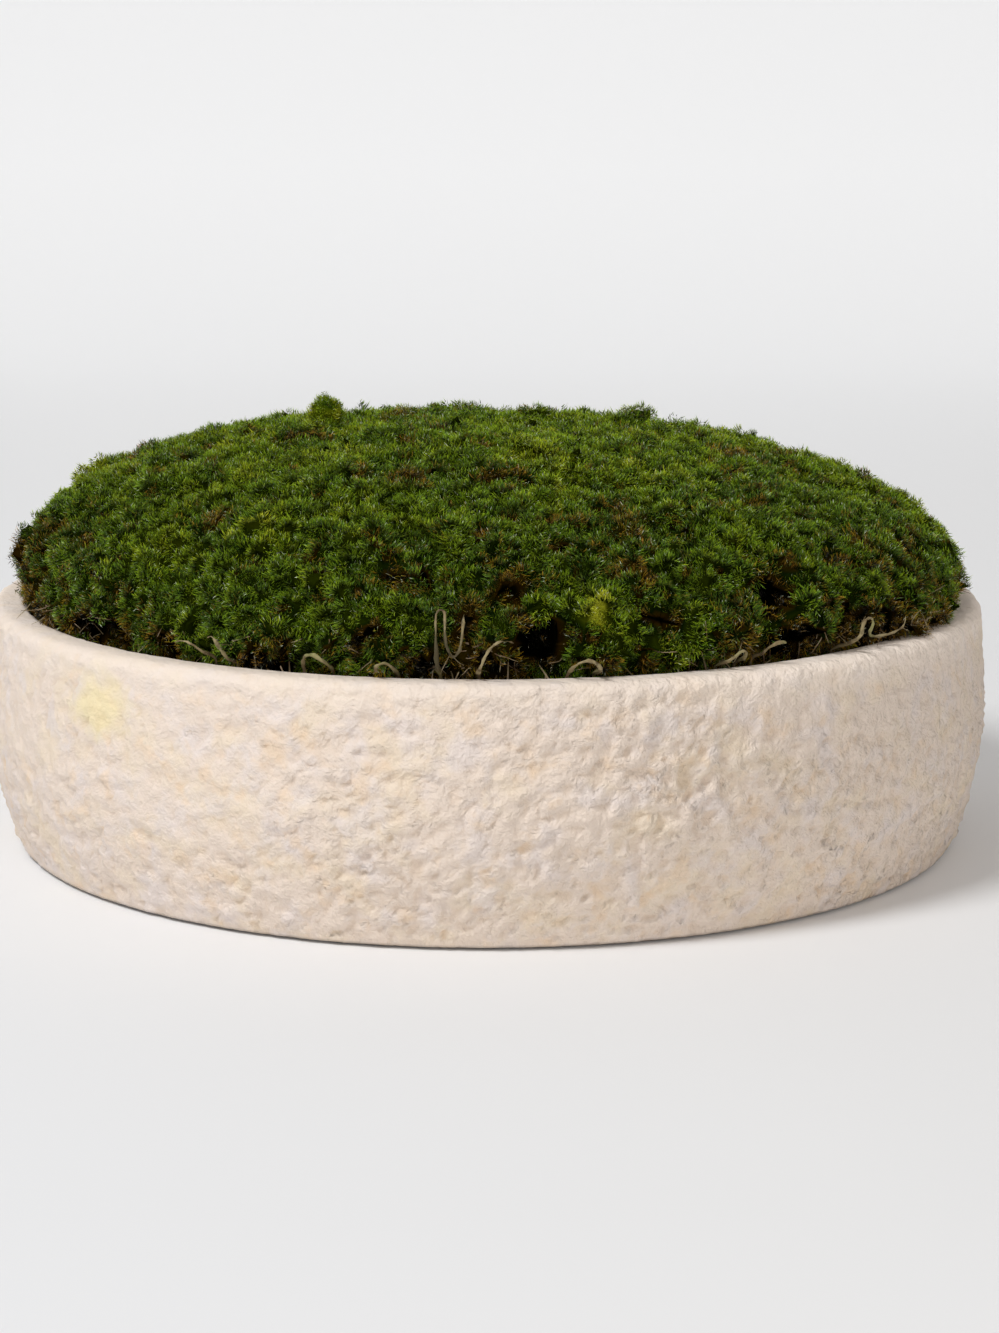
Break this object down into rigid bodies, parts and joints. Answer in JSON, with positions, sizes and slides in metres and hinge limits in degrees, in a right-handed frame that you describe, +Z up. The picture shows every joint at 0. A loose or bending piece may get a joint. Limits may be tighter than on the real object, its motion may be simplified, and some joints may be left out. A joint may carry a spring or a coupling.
{
  "type": "moss bowl garden",
  "caption": "Low round rough stone bowl filled with soil, under a rounded mound of tufted moss cushions with dry curly stems along the front edge.",
  "frame": {"origin": "centre of the bowl's flat underside", "axes": "+Z up, out of the bowl's mouth; the side with the dry stems faces -Y"},
  "size_m": [0.4606, 0.4603, 0.2039],
  "materials": {
    "bowl": "rough, cream, matt",
    "soil": "dark crumbly soil",
    "moss": "soft green tufts",
    "stem": "dry pale brown"
  },
  "bodies": {
    "root": {"bowl": "bowl", "soil": "soil", "moss_front_left": "moss", "moss_front_middle": "moss", "moss_front_right": "moss", "moss_right_front": "moss", "moss_right": "moss", "moss_right_back": "moss", "moss_back_right": "moss", "moss_back_left": "moss", "moss_left_back": "moss", "moss_left": "moss", "moss_left_lump": "moss", "moss_crown_left": "moss", "moss_crown_right": "moss", "moss_crown_back": "moss", "root_arch_left": "stem", "root_arch_middle": "stem", "root_arch_right": "stem", "root_arch_far_right": "stem", "root_hook_far_left": "stem", "root_hook_left": "stem", "root_hook_middle": "stem", "root_hook_right": "stem", "root_loop_middle": "stem", "root_loop_right": "stem"}
  },
  "joints": []
}
